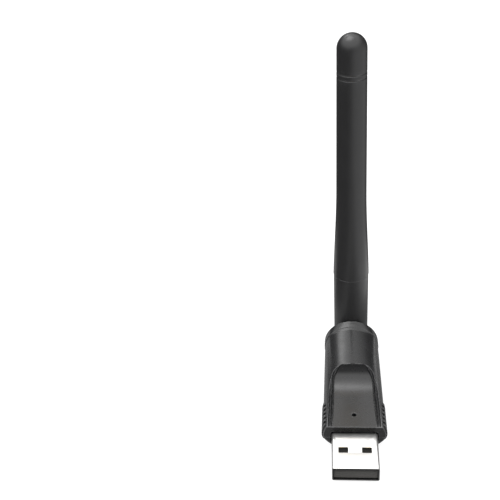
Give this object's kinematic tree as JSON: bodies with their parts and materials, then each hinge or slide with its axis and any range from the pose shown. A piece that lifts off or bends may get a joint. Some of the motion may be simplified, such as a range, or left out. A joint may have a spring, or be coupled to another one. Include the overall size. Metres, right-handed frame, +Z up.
{
  "type": "usb wifi adapter",
  "caption": "USB-A wireless network stick with a thumb recess, ribbed flanks and a rod antenna that swivels a quarter turn at its rear.",
  "frame": {"origin": "middle of the bounding box in X and Y, at the level of the case's flat underside", "axes": "+Z up along the upright antenna, -Y out of the mouth of the USB plug, +X to the right seen from the plug"},
  "size_m": [0.0174, 0.058, 0.0984],
  "materials": {
    "case": "fine moulded texture, dark charcoal",
    "antenna_plastic": "satin, dark charcoal",
    "plug_metal": "bright nickel-plated steel",
    "plug_insulator": "moulded, near black",
    "contact": "gold-plated",
    "board": "solder mask, satin green",
    "chip": "epoxy, matt black",
    "tin": "satin metal can",
    "ceramic": "fired ceramic, tan",
    "led": "clear epoxy over phosphor",
    "cable": "smooth jacket, black",
    "brass": "drawn tube",
    "copper": "bare drawn wire"
  },
  "bodies": {
    "adapter": {"upper_shell": "case", "lower_shell": "case", "usb_shell": "plug_metal", "usb_tongue": "plug_insulator", "usb_contact_1": "contact", "usb_contact_2": "contact", "usb_contact_3": "contact", "usb_contact_4": "contact", "circuit_board": "board", "wifi_chip": "chip", "crystal": "tin", "regulator": "chip", "inductor": "chip", "status_led": "led", "capacitor_1": "ceramic", "capacitor_2": "ceramic", "capacitor_3": "ceramic", "capacitor_4": "ceramic", "resistor_1": "chip", "resistor_2": "chip", "feed_coax": "cable"},
    "antenna": {"antenna_sleeve": "antenna_plastic", "antenna_knuckle": "antenna_plastic", "antenna_coax": "cable", "dipole_tube": "brass", "radiator_wire": "copper"}
  },
  "joints": [
    {"name": "antenna_swivel", "type": "hinge", "parent": "adapter", "child": "antenna", "pos_m": [0, 0.02399, 0.00635], "axis": [0, -1, 0], "range_deg": [0, 90]}
  ]
}
